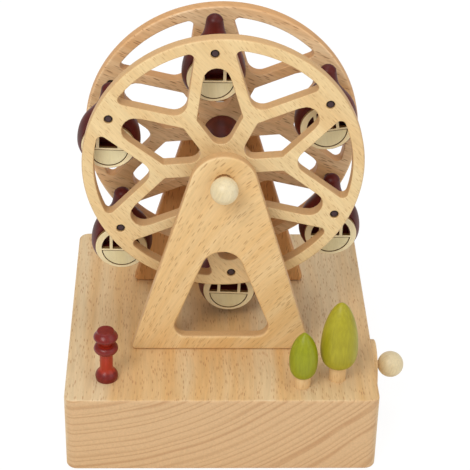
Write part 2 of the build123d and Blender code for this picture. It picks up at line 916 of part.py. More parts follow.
write(
    "small_tree_trunk",
    tree_trunk(small_tree_x, small_tree_y, small_trunk_radius, small_trunk_height),
)
write(
    "small_tree_crown",
    tree_crown(
        small_tree_x, small_tree_y, small_trunk_radius, small_trunk_height,
        small_crown_radius, small_crown_height, small_crown_waist, small_crown_point,
    ),
)
write(
    "large_tree_trunk",
    tree_trunk(large_tree_x, large_tree_y, large_trunk_radius, large_trunk_height),
)
write(
    "large_tree_crown",
    tree_crown(
        large_tree_x, large_tree_y, large_trunk_radius, large_trunk_height,
        large_crown_radius, large_crown_height, large_crown_waist, large_crown_point,
    ),
)

write("crank_shaft", crank_shaft())
write("crank_disc", crank_disc())
write("crank_knob", crank_knob())
write("knob_pin", knob_pin())
write("crank_bevel_gear", crank_bevel_gear())

write("cross_shaft", cross_shaft())
write("cross_shaft_bevel_gear", cross_shaft_bevel_gear())
write(
    "cross_shaft_pulley",
    pulley(belt_turn_radius_small, cross_shaft_radius + glue_gap, belt_plane, crank_height),
)

write("wheel_axle", wheel_axle())
write("front_wheel", ferris_wheel(front_wheel_front, front_wheel_back))
write("rear_wheel", ferris_wheel(rear_wheel_front, rear_wheel_back))
write("hub_barrel", axle_sleeve(hub_barrel_radius, front_wheel_back, rear_wheel_front))
write("axle_collar", axle_sleeve(collar_radius, front_wheel_front - collar_length, front_wheel_front))
write(
    "axle_pulley",
    pulley(belt_turn_radius_large, axle_radius + glue_gap, belt_plane, axle_height),
)
write("front_axle_ball", axle_ball(-1))
write("rear_axle_ball", axle_ball(1))

body = gondola_body()
fascias = front_and_back(fascia())
half_moons = front_and_back(slab_y(half_moon_sketch(panel_kerf), -half_moon_thickness, 0))
hangings = zip(zip(pin_angles(), gondola_leans, gondola_slides), gondola_plate_turns)
for number, (hanging, turn) in enumerate(hangings, start=1):
    write(f"gondola_pin_{number}", gondola_pin(hanging[0]))
    write(f"gondola_body_{number}", *hang([body], *hanging))
    write(f"gondola_fascias_{number}", *hang(glued_turned(fascias, turn), *hanging))
    write(f"gondola_half_moons_{number}", *hang(glued_turned(half_moons, turn), *hanging))
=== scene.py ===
import logging
import math
from dataclasses import dataclass, replace
from enum import Enum

import bpy
from mathutils import Matrix, Vector


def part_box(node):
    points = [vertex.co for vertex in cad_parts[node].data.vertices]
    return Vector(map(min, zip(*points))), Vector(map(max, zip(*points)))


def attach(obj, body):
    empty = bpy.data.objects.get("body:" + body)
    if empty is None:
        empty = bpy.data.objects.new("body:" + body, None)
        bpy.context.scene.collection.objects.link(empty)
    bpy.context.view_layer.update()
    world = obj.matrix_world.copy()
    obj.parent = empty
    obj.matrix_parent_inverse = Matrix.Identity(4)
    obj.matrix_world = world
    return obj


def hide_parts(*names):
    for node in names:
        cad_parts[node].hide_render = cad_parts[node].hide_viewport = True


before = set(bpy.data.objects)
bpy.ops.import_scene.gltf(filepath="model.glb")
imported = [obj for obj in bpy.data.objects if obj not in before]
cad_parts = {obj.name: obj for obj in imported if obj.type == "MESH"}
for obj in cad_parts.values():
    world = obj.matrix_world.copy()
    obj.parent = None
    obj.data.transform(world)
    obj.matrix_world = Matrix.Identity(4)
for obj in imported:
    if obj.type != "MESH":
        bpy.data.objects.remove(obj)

MM = 0.001
MM_PER_METRE = (1000.0, 1000.0, 1000.0)
log = logging.getLogger("ferris_wheel_toy")

Point = tuple[float, float]
Range = tuple[float, float]
Triple = tuple[float, float, float]
Loop = list[Point]
Tree = bpy.types.NodeTree
Socket = bpy.types.NodeSocket
Sockets = bpy.types.bpy_prop_collection
Node = bpy.types.Node
Object = bpy.types.Object
Material = bpy.types.Material

# Most of a noise texture's values lie between these two.
NOISE_SPREAD: Range = (0.3, 0.7)
SOCKET_TYPES = {
    int: "NodeSocketInt", float: "NodeSocketFloat", tuple: "NodeSocketVector",
    type(None): "NodeSocketMaterial",
}


# ---- helpers


def linear(hex_colour: str) -> tuple[float, float, float, float]:
    """Turns an sRGB hex value into the linear colour that a shader takes.

    Args:
        hex_colour: The colour as six hex digits after a #.

    Returns:
        Red, green, blue and an alpha of 1.
    """
    channels = [int(hex_colour[at : at + 2], 16) / 255 for at in (1, 3, 5)]
    straight = [c / 12.92 if c <= 0.04045 else ((c + 0.055) / 1.055) ** 2.4 for c in channels]
    return (*straight, 1.0)


def add_node(tree: Tree, kind: str, inputs: dict | None = None, **settings) -> Node:
    """Adds a node with its settings, its values and its links.

    Args:
        tree: The node tree.
        kind: The node's type name.
        inputs: Input, by name or number, to its value, to the output that feeds it, or to a list of outputs.
        **settings: The node's own properties.

    Returns:
        The new node.
    """
    node = tree.nodes.new(kind)
    for name, value in settings.items():
        setattr(node, name, value)
    for key, value in (inputs or {}).items():
        sources = value if isinstance(value, list) else [value]
        if isinstance(sources[0], Socket):
            for source in sources:
                tree.links.new(source, node.inputs[key])
        else:
            node.inputs[key].default_value = value
    return node


def calculate(tree: Tree, operation: str, *values: float | Socket) -> Socket:
    """Adds a Math node.

    Args:
        tree: The node tree.
        operation: What it works out.
        *values: Its inputs, in order.

    Returns:
        The result.
    """
    return add_node(tree, "ShaderNodeMath", dict(enumerate(values)), operation=operation).outputs[0]


def multiplied(tree: Tree, vector: Socket, factors: Triple | Socket) -> Socket:
    """Multiplies a vector or a colour.

    Args:
        tree: The node tree.
        vector: The vector or colour.
        factors: What each part is multiplied by, or the output that gives one factor for all.

    Returns:
        The product.
    """
    return add_node(tree, "ShaderNodeVectorMath", {0: vector, 1: factors}, operation="MULTIPLY").outputs[0]


def reach_from_axis(tree: Tree, place: Socket) -> Socket:
    """Works out how far a place is from the Z axis.

    Args:
        tree: The node tree.
        place: The place.

    Returns:
        The distance.
    """
    flat = multiplied(tree, place, (1.0, 1.0, 0.0))
    return add_node(tree, "ShaderNodeVectorMath", {0: flat}, operation="LENGTH").outputs["Value"]


def remap(tree: Tree, value: Socket, given: Range, wanted: Range = (0, 1), smooth: bool = False) -> Socket:
    """Moves a value from one range to another and holds it there.

    Args:
        tree: The node tree.
        value: The value.
        given: The range that it comes from.
        wanted: The range that it goes to.
        smooth: Whether it sets out and arrives slowly.

    Returns:
        The moved value.
    """
    inputs = {"Value": value, "From Min": given[0], "From Max": given[1]}
    inputs |= {"To Min": wanted[0], "To Max": wanted[1]}
    way = "SMOOTHSTEP" if smooth else "LINEAR"
    return add_node(tree, "ShaderNodeMapRange", inputs, interpolation_type=way).outputs[0]


def mix_colours(tree: Tree, share: Socket, first: str | Socket, second: str) -> Socket:
    """Mixes two colours.

    Args:
        tree: The node tree.
        share: How much there is of the second colour.
        first: The first colour, as a hex value or the output that gives it.
        second: The second colour, as a hex value.

    Returns:
        The mixed colour.
    """
    start = linear(first) if isinstance(first, str) else first
    inputs = {0: share, 6: start, 7: linear(second)}
    return add_node(tree, "ShaderNodeMix", inputs, data_type="RGBA").outputs[2]


def noise(tree: Tree, place: Socket, scale: float, detail: float) -> Socket:
    """Adds a noise texture.

    Args:
        tree: The node tree.
        place: Where it is read.
        scale: Its scale.
        detail: How many finer layers it has.

    Returns:
        Its value.
    """
    inputs = {"Vector": place, "Scale": scale, "Detail": detail}
    return add_node(tree, "ShaderNodeTexNoise", inputs).outputs[0]


def square_to_y(tree: Tree, normal: Socket, edge: Range, wanted: Range = (0, 1)) -> Socket:
    """Masks the faces that are square to Y.

    Args:
        tree: The node tree.
        normal: The surface's direction in object coordinates.
        edge: Part of the direction along Y where the mask sets in, and where it is whole.
        wanted: The mask's value on all other faces, and on those.

    Returns:
        The mask.
    """
    part = add_node(tree, "ShaderNodeSeparateXYZ", {0: normal}).outputs["Y"]
    return remap(tree, calculate(tree, "ABSOLUTE", part), edge, wanted, smooth=True)


def new_material(name: str) -> tuple[Material, Tree]:
    """Makes an empty node material.

    Args:
        name: The material's name.

    Returns:
        The material and its node tree.
    """
    material = bpy.data.materials.new(name)
    material.use_nodes = True
    material.node_tree.nodes.clear()
    return material, material.node_tree


def close_material(tree: Tree, colour: Socket, height: Socket, relief: Range, surface: dict) -> None:
    """Ends a material with its bump and its shader.

    Args:
        tree: The node tree.
        colour: The surface's colour.
        height: The height that the bump follows.
        relief: The bump's strength, and its depth in millimetres.
        surface: The shader's other inputs, by name.
    """
    inputs = {"Height": height, "Strength": relief[0], "Distance": relief[1] * MM}
    bump = add_node(tree, "ShaderNodeBump", inputs)
    shader = add_node(
        tree, "ShaderNodeBsdfPrincipled", {"Base Color": colour, "Normal": bump.outputs[0], **surface}
    )
    add_node(tree, "ShaderNodeOutputMaterial", {"Surface": shader.outputs[0]})


def add_object(name: str, data: bpy.types.ID) -> Object:
    """Adds an object to the scene.

    Args:
        name: The object's name.
        data: Its mesh, camera or light.

    Returns:
        The object, at the origin.
    """
    thing = bpy.data.objects.new(name, data)
    bpy.context.scene.collection.objects.link(thing)
    return thing


def dress(node: str, material: Material) -> None:
    """Gives a CAD node its finish.

    Args:
        node: The CAD node's name.
        material: The finish.
    """
    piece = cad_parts[node]
    if not piece.material_slots:
        piece.data.materials.append(material)
    for place in piece.material_slots:
        place.material = material
    log.info("%s: %s", node, material.name)


# ---- finishes


class Grain(Enum):
    """Which way a piece's fibres run, as the turn in degrees that stands them upright."""

    UP = (0.0, 0.0, 0.0)
    BACK = (90.0, 0.0, 0.0)
    ACROSS = (0.0, -90.0, 0.0)


class Cut(Enum):
    """Which faces show wood cut across, as the mask's value on faces along Y and on faces square to Y."""

    NONE = (0.0, 0.0)
    BOARD_EDGES = (1.0, 0.0)
    FRONT_AND_BACK = (0.0, 1.0)


@dataclass(frozen=True)
class Beech:
    """Clear-sealed beech: pale, with short darker ray flecks along the fibres and soft growth rings.

    Every length is in millimetres, and every scale of a texture is per millimetre.
    """

    name: str
    pale: str
    deep: str
    ring: str
    fleck: str
    cut_colour: str
    grain: Grain = Grain.UP
    tilt: float = 0.0
    fan: float = 0.0
    cut: Cut = Cut.NONE
    cut_edge: Range = (0.45, 0.8)
    pith: Point = (60.0, 80.0)
    middle: float = 0.0
    sway: float = 3.0
    sway_scale: float = 0.03
    ring_spacing: float = 2.6
    ring_share: float = 0.2
    ring_share_on_cut: float = 0.2
    ring_wander: float = 3.5
    ring_unevenness: float = 2.2
    ring_unevenness_scale: float = 0.37
    ring_unevenness_spread: Range = (0.3, 0.65)
    ring_strength: Range = (0.45, 1.15)
    late_wood: Range = (0.45, 0.88)
    fleck_share: float = 0.9
    fleck_width: float = 0.6
    fleck_length: float = 3.4
    fleck_edge: Range = (0.2, 0.4)
    fleck_draw: Range = (0.1, 0.8)
    fibre_share: float = 0.08
    fibre_stretch: float = 0.07
    fibre_scale: float = 1.6
    tone_scale: float = 0.11
    tone_spread: Range = (0.35, 0.65)
    detail: float = 2.0
    roughness: float = 0.5
    coat: float = 0.0
    coat_roughness: float = 0.25
    relief: Range = (0.5, 0.012)

    def material(self) -> Material:
        """Builds the finish as a node material.

        Returns:
            The material.
        """
        material, tree = new_material(self.name)
        place = add_node(tree, "ShaderNodeTexCoord").outputs
        fibres, wander = self._fibres(tree, place["Object"])
        cut = square_to_y(tree, place["Normal"], self.cut_edge, self.cut.value)
        fine = multiplied(tree, fibres, (1.0, 1.0, self.fibre_stretch))
        fibre = noise(tree, fine, self.fibre_scale, self.detail)
        tone = remap(tree, noise(tree, fine, self.tone_scale, self.detail), self.tone_spread)
        body = mix_colours(tree, tone, self.pale, self.deep)
        body = mix_colours(tree, cut, body, self.cut_colour)
        most = remap(tree, cut, (0.0, 1.0), (self.ring_share, self.ring_share_on_cut))
        ring = calculate(tree, "MULTIPLY", self._rings(tree, fibres, wander), most)
        body = mix_colours(tree, ring, body, self.ring)
        long_face = calculate(tree, "SUBTRACT", 1.0, cut)
        fleck = calculate(tree, "MULTIPLY", self._flecks(tree, fibres), long_face)
        body = mix_colours(tree, fleck, body, self.fleck)
        shade = remap(tree, fibre, NOISE_SPREAD, (1.0 - self.fibre_share, 1.0 + self.fibre_share / 2))
        surface = {
            "Roughness": self.roughness, "Coat Weight": self.coat, "Coat Roughness": self.coat_roughness,
        }
        close_material(tree, multiplied(tree, body, shade), fibre, self.relief, surface)
        return material

    def _fibres(self, tree: Tree, place: Socket) -> tuple[Socket, Socket]:
        """Turns a place into millimetres with the fibres along Z and the pith of the log on the Z axis.

        The fibres fan out slightly, as they do in a board cut beside a curve of the trunk, and sway.

        Args:
            tree: The node tree.
            place: The object coordinates.

        Returns:
            The place among the fibres, and the slow noise that they sway with.
        """
        turn = [math.radians(angle) for angle in self.grain.value]
        turn[1] -= math.radians(self.tilt)
        location = (self.pith[0], self.pith[1], -self.middle)
        inputs = {"Vector": place, "Location": location, "Rotation": turn, "Scale": MM_PER_METRE}
        upright = add_node(tree, "ShaderNodeMapping", inputs).outputs[0]
        axes = add_node(tree, "ShaderNodeSeparateXYZ", {0: upright}).outputs
        drift = calculate(tree, "MULTIPLY", axes["X"], axes["Z"])
        fanned = calculate(tree, "MULTIPLY_ADD", drift, self.fan, axes["X"])
        wander = noise(tree, upright, self.sway_scale, 1.0)
        swayed = calculate(tree, "MULTIPLY_ADD", wander, self.sway, fanned)
        fibres = add_node(tree, "ShaderNodeCombineXYZ", {"X": swayed, "Y": axes["Y"], "Z": axes["Z"]})
        return fibres.outputs[0], wander

    def _rings(self, tree: Tree, fibres: Socket, wander: Socket) -> Socket:
        """Adds growth rings round the pith, each darkening slowly and ending sharply.

        Args:
            tree: The node tree.
            fibres: The place among the fibres.
            wander: Slow noise that the rings follow.

        Returns:
            How dark the rings are, near 1 on a ring's dark line.
        """
        count = calculate(tree, "DIVIDE", reach_from_axis(tree, fibres), self.ring_spacing)
        offset = calculate(tree, "MULTIPLY_ADD", wander, self.ring_wander, count)
        inputs = {"W": count, "Scale": self.ring_unevenness_scale}
        uneven = add_node(tree, "ShaderNodeTexNoise", inputs, noise_dimensions="1D").outputs[0]
        uneven_count = calculate(tree, "MULTIPLY_ADD", uneven, self.ring_unevenness, offset)
        phase = calculate(tree, "FRACT", uneven_count)
        rise = remap(tree, phase, self.late_wood, smooth=True)
        fall = remap(tree, phase, (self.late_wood[1], 1.0), (1.0, 0.0))
        line = calculate(tree, "MULTIPLY", rise, fall)
        strength = remap(tree, uneven, self.ring_unevenness_spread, self.ring_strength)
        return calculate(tree, "MULTIPLY", line, strength)

    def _flecks(self, tree: Tree, fibres: Socket) -> Socket:
        """Adds the short dark ray flecks that mark beech.

        Args:
            tree: The node tree.
            fibres: The place among the fibres.

        Returns:
            A fleck's share of the colour.
        """
        cell = multiplied(tree, fibres, (1 / self.fleck_width, 1 / self.fleck_width, 1 / self.fleck_length))
        cells = add_node(tree, "ShaderNodeTexVoronoi", {"Vector": cell, "Scale": 1.0, "Randomness": 1.0})
        drop = remap(tree, cells.outputs["Distance"], self.fleck_edge, (self.fleck_share, 0.0), smooth=True)
        lot = add_node(tree, "ShaderNodeSeparateXYZ", {0: cells.outputs["Color"]})
        return calculate(tree, "MULTIPLY", drop, remap(tree, lot.outputs["X"], self.fleck_draw))


@dataclass(frozen=True)
class Stain:
    """Stained and lacquered beech: the colour pools a little between the fibres.

    On a turned piece with an axis, the colour is also thin in the hollows. Lengths are in millimetres.
    """

    name: str
    deep: str
    thin: str
    axis: Point | None = None
    thin_inside: float = 0.0
    deep_outside: float = 0.0
    thin_up_to: float = 1000.0
    mottle: float = 0.5
    mottle_scale: float = 0.12
    mottle_detail: float = 2.0
    end_colour: str | None = None
    end_edge: Range = (0.9, 0.99)
    roughness: float = 0.35
    coat: float = 0.3
    coat_roughness: float = 0.15
    specular: float = 0.35
    grain_share: float = 0.12
    grain_stretch: float = 0.14
    grain_scale: float = 1.5
    grain_detail: float = 3.0
    relief: Range = (0.4, 0.01)

    def material(self) -> Material:
        """Builds the finish as a node material.

        Returns:
            The material.
        """
        material, tree = new_material(self.name)
        place = add_node(tree, "ShaderNodeTexCoord").outputs
        centre = self.axis or (0.0, 0.0)
        inputs = {
            "Vector": place["Object"], "Location": (-centre[0], -centre[1], 0.0), "Scale": MM_PER_METRE,
        }
        centred = add_node(tree, "ShaderNodeMapping", inputs).outputs[0]
        along = multiplied(tree, centred, (1.0, 1.0, self.grain_stretch))
        fibre = noise(tree, along, self.grain_scale, self.grain_detail)
        pool = noise(tree, centred, self.mottle_scale, self.mottle_detail)
        share = remap(tree, pool, NOISE_SPREAD, (0.0, self.mottle))
        if self.axis is not None:
            share = calculate(tree, "MAXIMUM", share, self._hollows(tree, centred))
        colour = mix_colours(tree, share, self.deep, self.thin)
        if self.end_colour is not None:
            colour = mix_colours(
                tree, square_to_y(tree, place["Normal"], self.end_edge), colour, self.end_colour
            )
        shade = remap(tree, fibre, NOISE_SPREAD, (1.0 - self.grain_share, 1.0 + self.grain_share))
        surface = {
            "Roughness": self.roughness, "Specular IOR Level": self.specular,
            "Coat Weight": self.coat, "Coat Roughness": self.coat_roughness,
        }
        close_material(tree, multiplied(tree, colour, shade), fibre, self.relief, surface)
        return material

    def _hollows(self, tree: Tree, centred: Socket) -> Socket:
        """Adds the mask of a turned piece's hollows.

        Args:
            tree: The node tree.
            centred: Millimetres from the piece's axis and from the ground.

        Returns:
            1 in the hollows below the height that they end at, 0 on the beads.
        """
        edge = (self.thin_inside, self.deep_outside)
        hollow = remap(tree, reach_from_axis(tree, centred), edge, (1.0, 0.0), smooth=True)
        height = add_node(tree, "ShaderNodeSeparateXYZ", {0: centred}).outputs["Z"]
        below = calculate(tree, "LESS_THAN", height, self.thin_up_to)
        return calculate(tree, "MULTIPLY", hollow, below)


@dataclass(frozen=True)
class Moulded:
    """Nylon, rubber or zinc-plated steel: one even colour with a fine surface unevenness."""

    name: str
    colour: str
    worn: str
    roughness: float
    metallic: float = 0.0
    speck: float = 0.8
    speck_detail: float = 3.0
    worn_spread: Range = (0.4, 0.75)
    relief: Range = (0.3, 0.01)

    def material(self) -> Material:
        """Builds the finish as a node material.

        Returns:
            The material.
        """
        material, tree = new_material(self.name)
        place = multiplied(tree, add_node(tree, "ShaderNodeTexCoord").outputs["Object"], MM_PER_METRE)
        patch = noise(tree, place, self.speck, self.speck_detail)
        body = mix_colours(tree, remap(tree, patch, self.worn_spread), self.colour, self.worn)
        surface = {"Roughness": self.roughness, "Metallic": self.metallic}
        close_material(tree, body, patch, self.relief, surface)
        return material


class Finishes:
    """Every finish that more than one piece of the toy may wear, built once."""

    def __init__(self) -> None:
        """Builds the materials."""
        # Solid beech: fibres run front to back, so the front shows end grain with arched rings.
        self.base = Beech(
            "beech_base_block",
            pale="#dfc499", deep="#daaf75", ring="#b07c4a", fleck="#a8693a", cut_colour="#d4ae80",
            grain=Grain.BACK, cut=Cut.FRONT_AND_BACK, pith=(64, 146), ring_spacing=2.5,
            ring_share=0.08, ring_share_on_cut=0.5, ring_wander=1.0, fleck_share=0.6,
        ).material()
        # Beech board: flecks run up the left leg and fan out to the right.
        board = Beech(
            "beech_frame_board",
            pale="#ebca94", deep="#e3b87a", ring="#cfa067", fleck="#a46c34", cut_colour="#d3a873",
            tilt=17, fan=-0.009, middle=70, cut=Cut.BOARD_EDGES, ring_share=0.1, ring_spacing=4.0,
            fleck_share=0.55, fleck_width=0.65, fleck_length=3.8,
        )
        self.frame = board.material()
        # The rear board gets a redder, darker copy of the board's finish, on its sawn edges too: painted
        # warm shade, standing in for the shade and bounced light behind the wheels.
        self.rear_frame_painted_shade = replace(
            board, name="beech_rear_frame_painted_shade",
            pale="#dfa96c", deep="#d2985a", ring="#b57f45", fleck="#8f5522", cut_colour="#c68749",
            tilt=4, fan=0.0, fleck_share=0.6,
        ).material()
        # Beech of the front wheel: fine diagonal fibres. The sawn walls are warmer: partly the sawn wood's
        # own colour, partly painted warm shade for the shaded walls of the openings.
        self.front_wheel = Beech(
            "beech_front_wheel",
            pale="#ecd09b", deep="#e4c189", ring="#d5a96f", fleck="#a86f35", cut_colour="#d5ab76",
            tilt=-42, cut=Cut.BOARD_EDGES, ring_share=0.1, ring_spacing=3.0,
            fleck_share=0.4, fleck_width=0.55, fleck_length=3.0,
        ).material()
        # Beech of the rear wheel, with long dark flecks that rise to the right. Its redder colours, warmest
        # on the sawn walls, are partly its own wood and partly painted warm shade from its place behind the
        # front wheel.
        self.rear_wheel = Beech(
            "beech_rear_wheel",
            pale="#eecb9e", deep="#e1b07a", ring="#b07a48", fleck="#874c1f", cut_colour="#d8a46c",
            grain=Grain.ACROSS, tilt=24, cut=Cut.BOARD_EDGES, pith=(18, 30), ring_spacing=2.2,
            ring_wander=5.0, fleck_share=0.65, fleck_width=0.7, fleck_length=4.4,
        ).material()
        # Beech dowel stock: straight fibres, no visible rings.
        self.dowel = Beech(
            "beech_dowel_stock",
            pale="#eccb98", deep="#e2bb83", ring="#cfa067", fleck="#b98248", cut_colour="#e6c595",
            ring_share=0.1, fleck_share=0.4, fleck_length=3.0,
        ).material()
        # Turned and polished pale beech balls.
        self.ball = Beech(
            "pale_beech_ball",
            pale="#e8d8b2", deep="#e1cea3", ring="#dac292", fleck="#cfb27c", cut_colour="#ecdeba",
            tilt=20, ring_share=0.16, ring_spacing=2.2, fleck_share=0.3, fleck_width=0.5, fleck_length=2.2,
            roughness=0.42, coat=0.2,
        ).material()
        # Pale veneer plates cut by laser, which leaves the cut edges scorched brown.
        veneer = Beech(
            "pale_veneer_plate",
            pale="#f3e4ba", deep="#ecdaab", ring="#d8bf8a", fleck="#cdb07a", cut_colour="#8d6a3c",
            tilt=8, cut=Cut.BOARD_EDGES, ring_share=0.08,
            fleck_share=0.15, fleck_width=0.5, fleck_length=2.6, fibre_share=0.03,
        )
        self.plate = veneer.material()
        self.half_moon = replace(
            veneer, name="pale_veneer_half_moon",
            pale="#ebe0b6", deep="#e3d6a6", ring="#cdbd88", fleck="#c3ae7a", cut_colour="#a9834f",
            tilt=-6, ring_share=0.1,
        ).material()
        # Dark red-brown stain under a satin lacquer.
        self.gondola = Stain(
            "red_brown_stain",
            deep="#48100c", thin="#7a241a", roughness=0.45, coat=0.08, coat_roughness=0.25, specular=0.25,
        ).material()
        # Nearly black stained dowels, a little browner on their ends.
        self.pin = Stain(
            "black_stained_pin",
            deep="#120a09", thin="#1c1210", end_colour="#3b2024", roughness=0.4, coat=0.2,
        ).material()
        # Moulded nylon, off-white.
        self.nylon = Moulded("white_nylon", "#e6e3d8", "#dcd8ca", 0.45).material()
        # Black rubber cord, dull with dust.
        self.rubber = Moulded("black_rubber", "#1b1b1b", "#2a2a29", 0.75).material()
        # Zinc-plated steel, bright with a fine mottle.
        self.steel = Moulded(
            "zinc_plated_steel", "#c9cbcf", "#a8abb0", 0.35, metallic=1.0, speck=2.0
        ).material()


# ---- Geometry Nodes pieces


def geometry_tree(name: str, inputs: dict, takes_shape: bool) -> tuple[Tree, Sockets]:
    """Makes a Geometry Nodes tree with named inputs.

    Args:
        name: The tree's name.
        inputs: Each input's first value, by name. A material has None.
        takes_shape: Whether the tree also reads the object's own shape.

    Returns:
        The tree and its inputs.
    """
    tree = bpy.data.node_groups.new(name, "GeometryNodeTree")
    face = tree.interface
    if takes_shape:
        face.new_socket("Geometry", in_out="INPUT", socket_type="NodeSocketGeometry")
    for key, value in inputs.items():
        socket = face.new_socket(key, in_out="INPUT", socket_type=SOCKET_TYPES[type(value)])
        if value is not None:
            socket.default_value = value
    face.new_socket("Geometry", in_out="OUTPUT", socket_type="NodeSocketGeometry")
    return tree, add_node(tree, "NodeGroupInput").outputs


def close_tree(tree: Tree, shape: Socket, material: Socket) -> None:
    """Ends a Geometry Nodes tree: makes copies real and gives them their finish.

    Args:
        tree: The tree.
        shape: What it has made.
        material: The finish.
    """
    real = add_node(tree, "GeometryNodeRealizeInstances", {"Geometry": shape})
    inputs = {"Geometry": real.outputs[0], "Material": material}
    painted = add_node(tree, "GeometryNodeSetMaterial", inputs)
    add_node(tree, "NodeGroupOutput", {0: painted.outputs[0]})


def add_tree(draft: Object, tree: Tree, values: dict) -> None:
    """Puts a Geometry Nodes tree on a draft and sets its inputs.

    Args:
        draft: The object that gets the modifier.
        tree: The tree.
        values: Its inputs, by name.
    """
    maker = draft.modifiers.new(tree.name, "NODES")
    maker.node_group = tree
    sockets = {item.name: item.identifier for item in tree.interface.items_tree if item.in_out == "INPUT"}
    for key, value in values.items():
        maker[sockets[key]] = value


def keep_result(name: str, draft: Object) -> Object:
    """Turns what a draft's modifiers make into a plain mesh piece, and removes the draft.

    Args:
        name: The piece's name.
        draft: The object with the modifiers.

    Returns:
        The piece, at the origin.
    """
    graph = bpy.context.evaluated_depsgraph_get()
    made = draft.evaluated_get(graph)
    shape = bpy.data.meshes.new_from_object(made, preserve_all_data_layers=True, depsgraph=graph)
    shape.name = name
    bpy.data.objects.remove(draft)
    return add_object(name, shape)


def arc_points(centre: Point, radius: float, start: float, end: float, steps: int) -> Loop:
    """Points on an arc.

    Args:
        centre: The arc's centre.
        radius: Its radius.
        start: Angle of the first point, in radians from +X.
        end: Angle of the last point.
        steps: How many pieces the arc is divided into.

    Returns:
        The points, both ends among them.
    """
    angles = [start + (end - start) * step / steps for step in range(steps + 1)]
    return [(centre[0] + radius * math.cos(a), centre[1] + radius * math.sin(a)) for a in angles]


def circle_points(centre: Point, radius: float, count: int) -> Loop:
    """Evenly spaced points on a circle.

    Args:
        centre: The circle's centre.
        radius: Its radius.
        count: How many points it has.

    Returns:
        The points.
    """
    return arc_points(centre, radius, 0, 2 * math.pi * (count - 1) / count, count - 1)


def rounded_loop(corners: Loop, radii: list[float], steps: int) -> Loop:
    """Polygon with each corner rounded by an arc.

    Args:
        corners: The sharp corners, in order.
        radii: The radius at each corner.
        steps: How many pieces each arc has.

    Returns:
        The loop's points.
    """
    points: Loop = []
    for index, (corner, radius) in enumerate(zip(corners, radii)):
        here = Vector(corner)
        before = (Vector(corners[index - 1]) - here).normalized()
        after = (Vector(corners[(index + 1) % len(corners)]) - here).normalized()
        half = before.angle(after) / 2
        centre = here + (before + after).normalized() * radius / math.sin(half)
        first = here + before * radius / math.tan(half) - centre
        last = here + after * radius / math.tan(half) - centre
        start = math.atan2(first.y, first.x)
        sweep = math.atan2(last.y, last.x) - start
        sweep = (sweep + math.pi) % (2 * math.pi) - math.pi
        points += arc_points(tuple(centre), radius, start, start + sweep, steps)
    return points


def loops_mesh(name: str, repeated: list[Loop], single: list[Loop]) -> bpy.types.Mesh:
    """Makes a mesh of edge loops for the fretted board tree.

    Args:
        name: The mesh's name.
        repeated: Loops that the tree repeats, in millimetres.
        single: Loops that it keeps once.

    Returns:
        The mesh, in metres.
    """
    points: list[Triple] = []
    edges: list[tuple[int, int]] = []
    flags: list[bool] = []
    for loops, once in ((repeated, False), (single, True)):
        for loop in loops:
            start = len(points)
            count = len(loop)
            points += [(x * MM, y * MM, 0.0) for x, y in loop]
            edges += [(start + at, start + (at + 1) % count) for at in range(count)]
            flags += [once] * count
    mesh = bpy.data.meshes.new(name)
    mesh.from_pydata(points, edges, [])
    mark = mesh.attributes.new("once", "BOOLEAN", "POINT")
    mark.data.foreach_set("value", flags)
    return mesh


def repeated_outlines(tree: Tree, given: Sockets) -> Socket:
    """Repeats a board's outlines about its middle, apart from those that stay single.

    Args:
        tree: The node tree.
        given: The tree's inputs.

    Returns:
        All the outlines as curves.
    """
    once = add_node(tree, "GeometryNodeInputNamedAttribute", {"Name": "once"}, data_type="BOOLEAN")
    inputs = {"Geometry": given["Geometry"], "Selection": once.outputs["Attribute"]}
    parted = add_node(tree, "GeometryNodeSeparateGeometry", inputs, domain="POINT")
    single = add_node(tree, "GeometryNodeMeshToCurve", {"Mesh": parted.outputs["Selection"]})
    pattern = add_node(tree, "GeometryNodeMeshToCurve", {"Mesh": parted.outputs["Inverted"]})
    spots = add_node(tree, "GeometryNodePoints", {"Count": given["Repeats"]})
    number = add_node(tree, "GeometryNodeInputIndex").outputs[0]
    step = calculate(tree, "DIVIDE", -2 * math.pi, given["Repeats"])
    turn = calculate(tree, "MULTIPLY_ADD", number, step, given["First angle"])
    spin = add_node(tree, "ShaderNodeCombineXYZ", {"Z": turn})
    inputs = {"Points": spots.outputs[0], "Instance": pattern.outputs[0], "Rotation": spin.outputs[0]}
    copies = add_node(tree, "GeometryNodeInstanceOnPoints", inputs)
    loose = add_node(tree, "GeometryNodeRealizeInstances", {"Geometry": copies.outputs[0]})
    return add_node(tree, "GeometryNodeJoinGeometry", {0: [loose.outputs[0], single.outputs[0]]}).outputs[0]


def raised_sheet(tree: Tree, outlines: Socket, thickness: Socket) -> Socket:
    """Fills outlines and gives the sheet its thickness.

    Args:
        tree: The node tree.
        outlines: The outlines as curves.
        thickness: The board's thickness.

    Returns:
        The board as one closed mesh.
    """
    sheet = add_node(tree, "GeometryNodeFillCurve", {"Curve": outlines}, mode="NGONS").outputs[0]
    up = add_node(tree, "ShaderNodeCombineXYZ", {"Z": 1.0})
    inputs = {"Mesh": sheet, "Offset": up.outputs[0], "Offset Scale": thickness, "Individual": False}
    raised = add_node(tree, "GeometryNodeExtrudeMesh", inputs, mode="FACES")
    under = add_node(tree, "GeometryNodeFlipFaces", {"Mesh": sheet})
    both = add_node(tree, "GeometryNodeJoinGeometry", {0: [raised.outputs["Mesh"], under.outputs[0]]})
    inputs = {"Geometry": both.outputs[0], "Distance": 0.001 * MM}
    return add_node(tree, "GeometryNodeMergeByDistance", inputs).outputs[0]


